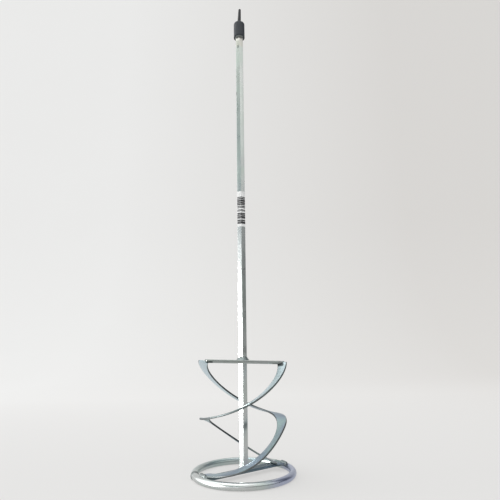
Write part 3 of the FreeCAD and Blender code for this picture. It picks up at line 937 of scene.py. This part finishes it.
def stage():
    """A pale floor that curves up into a backdrop far behind, with painted shade: a little darker to
    the right and near the object."""
    n = Nodes("stage_paint")
    patches = n.noise(n.stretched(1, 1, 1), 3.0, 3.0)
    shade = n.mix(patches, (0.985, 0.98, 0.97), (1.0, 0.998, 0.99))
    place = n.new("SeparateXYZ")
    n.link(n.place, place.inputs[0])
    # Painted shade: the floor's glow is darker to the right and near the object.
    shade = n.mix(n.ramp(place.outputs["X"], -1.0, 1.3), shade, (0.80, 0.775, 0.75))
    painted_shade_near = n.ramp(place.outputs["Y"], 0.9, 0.0, 0.0, 0.5)
    shade = n.mix(painted_shade_near, shade, (0.72, 0.71, 0.70))
    n.feed(n.shader, Emission_Color=shade, Emission_Strength=0.65)
    n.finish(Base_Color=(0.20, 0.20, 0.20, 1.0), Roughness=0.9)
    n.shader.inputs["Specular IOR Level"].default_value = 0.0
    profile = [(STAGE_FRONT_Y, 0.0), (STAGE_BEND_Y, 0.0)]
    for i in range(1, 13):
        angle = math.radians(90 * i / 12)
        profile.append((STAGE_BEND_Y + STAGE_BEND_R * math.sin(angle),
                        STAGE_BEND_R - STAGE_BEND_R * math.cos(angle)))
    profile.append((STAGE_BEND_Y + STAGE_BEND_R, STAGE_TOP_Z))
    verts, faces = [], []
    for y, z in profile:
        verts += [(-STAGE_HALF_WIDTH, y, z), (STAGE_HALF_WIDTH, y, z)]
    for i in range(len(profile) - 1):
        faces.append((2 * i, 2 * i + 1, 2 * i + 3, 2 * i + 2))
    mesh = bpy.data.meshes.new("stage_sheet")
    mesh.from_pydata(verts, [], faces)
    mesh.materials.append(n.material)
    mesh.shade_smooth()
    sheet = bpy.data.objects.new("stage_sheet", mesh)
    bpy.context.scene.collection.objects.link(sheet)


def softbox(name, place, target, size, power, colour=(1, 1, 1)):
    data = bpy.data.lights.new(name, "AREA")
    data.shape = "RECTANGLE"
    data.size, data.size_y = size
    data.energy = power
    data.color = colour
    made = bpy.data.objects.new(name, data)
    bpy.context.scene.collection.objects.link(made)
    made.location = place
    made.rotation_euler = (Vector(target) - Vector(place)).to_track_quat("-Z", "Y").to_euler()
    return made


# The camera: its place in millimetres, its turns in degrees, and its lens
CAMERA_PLACE = (6.2, -543.0, 137.4)
CAMERA_PITCH_DEG = 13.24
CAMERA_YAW_DEG = 0.5
CAMERA_ROLL_DEG = -0.87
CAMERA_LENS = 31.32
CAMERA_SENSOR = 36.0


def camera():
    turns = (CAMERA_PITCH_DEG, CAMERA_YAW_DEG, CAMERA_ROLL_DEG)
    pitch, yaw, roll = (math.radians(turn) for turn in turns)
    ahead = Vector((math.sin(yaw) * math.cos(pitch), math.cos(yaw) * math.cos(pitch), math.sin(pitch)))
    right = Vector((math.cos(yaw), -math.sin(yaw), 0))
    above = right.cross(ahead)
    tilted_right = right * math.cos(roll) + above * math.sin(roll)
    tilted_above = above * math.cos(roll) - right * math.sin(roll)
    data = bpy.data.cameras.new("camera")
    data.sensor_width = CAMERA_SENSOR
    data.lens = CAMERA_LENS
    data.clip_start, data.clip_end = 0.01, 50.0
    made = bpy.data.objects.new("camera", data)
    bpy.context.scene.collection.objects.link(made)
    turn = Matrix((tilted_right, tilted_above, -ahead)).transposed()
    made.matrix_world = Matrix.Translation(Vector(CAMERA_PLACE) * MM) @ turn.to_4x4()
    bpy.context.scene.camera = made


# What surrounds the object, as (elevation in degrees, colour) up one side of the room. Azimuths
# are measured from straight behind the object, and those to its right are positive.
WORLD_PEAK = 2.5
LEFT_SIDE = ((-30, (1.4, 1.4, 1.4)), (3, (1.65, 1.65, 1.65)), (8, (1.25, 1.26, 1.29)),
             (13, (0.76, 0.79, 0.82)), (17, (0.44, 0.51, 0.54)), (21, (0.22, 0.32, 0.36)),
             (26, (0.21, 0.32, 0.34)), (31, (0.30, 0.40, 0.36)), (38, (0.80, 0.86, 0.74)),
             (52, (1.2, 1.22, 1.2)), (64, (2.1, 2.1, 2.1)))
RIGHT_SIDE = ((-30, (0.50, 0.52, 0.51)), (-10, (0.42, 0.45, 0.43)), (-4, (0.36, 0.38, 0.36)),
              (2, (0.22, 0.23, 0.22)), (7, (0.06, 0.07, 0.07)), (14, (0.06, 0.07, 0.075)),
              (18, (0.45, 0.47, 0.47)), (21, (1.05, 1.07, 1.05)), (30, (1.45, 1.48, 1.44)),
              (38, (1.1, 1.1, 1.05)), (52, (1.0, 1.0, 1.0)), (64, (1.5, 1.5, 1.5)))
FAR_LEFT = ((-30, (1.5, 1.5, 1.5)), (0, (2.3, 2.3, 2.3)), (12, (2.5, 2.5, 2.5)),
            (36, (2.3, 2.32, 2.3)), (52, (2.1, 2.12, 2.1)), (70, (2.2, 2.2, 2.2)))
FAR_RIGHT = ((-30, (0.40, 0.42, 0.46)), (0, (0.12, 0.13, 0.18)), (10, (0.04, 0.05, 0.09)),
             (38, (0.05, 0.06, 0.10)), (55, (0.16, 0.18, 0.22)), (72, (0.6, 0.62, 0.63)))
MIDDLE = ((-30, (0.45, 0.50, 0.52)), (0, (0.42, 0.49, 0.52)), (20, (0.46, 0.54, 0.57)),
          (43, (0.54, 0.59, 0.62)), (54, (0.85, 0.88, 0.90)), (66, (2.0, 2.0, 2.0)))
# Where each profile takes over: the azimuths between which it fades in
SIDES = ((-38, -62, FAR_LEFT), (-92, -108, LEFT_SIDE), (38, 62, FAR_RIGHT), (88, 102, RIGHT_SIDE))
SEEN_PALE = (0.77, 0.765, 0.755)


def side_profile(n, z, stops):
    """A colour that depends on how high one looks. z is the sine of the elevation."""
    node = n.new("ValToRGB")
    n.link(n.ramp(z, -1.0, 1.0), node.inputs["Fac"])
    marks = node.color_ramp.elements
    while len(marks) < len(stops):
        marks.new(0.5)
    for mark, (elevation, colour) in zip(marks, stops):
        mark.position = (math.sin(math.radians(elevation)) + 1) / 2
        mark.color = (*(c / WORLD_PEAK for c in colour), 1.0)
    return node.outputs["Color"]


def world():
    """Uneven surroundings: bright low on the left, dim low on the right, pale above. Where the
    camera looks straight at them they are plain and pale."""
    block = bpy.data.worlds.new("studio")
    bpy.context.scene.world = block
    n = Nodes("studio", block, "Generated")
    split = n.new("SeparateXYZ")
    n.link(n.place, split.inputs[0])
    x, y, z = (split.outputs[axis] for axis in "XYZ")
    azimuth = n.math("ARCTAN2", x, y)
    colour = side_profile(n, z, MIDDLE)
    for start, end, stops in SIDES:
        beyond = n.ramp(azimuth, math.radians(start), math.radians(end))
        colour = n.mix(beyond, colour, side_profile(n, z, stops))
    seen = n.new("LightPath").outputs["Is Camera Ray"]
    colour = n.mix(seen, colour, tuple(c / WORLD_PEAK for c in SEEN_PALE))
    n.finish(Color=colour, Strength=WORLD_PEAK)


stage()
world()
# The low light at the left reflects in the metal, and leaves no patch of light on the floor.
key = softbox("key_left", (-0.80, -0.40, 0.10), (0, 0, 0.0), (0.45, 0.30), 1.6, (1.0, 0.99, 0.98))
key.data.spread = math.radians(60)
key.visible_diffuse = False
softbox("top_fill", (-0.3, -0.3, 1.9), (0, 0.2, 0), (1.6, 1.6), 6.0)
camera()
bpy.context.scene.view_settings.view_transform = "Standard"
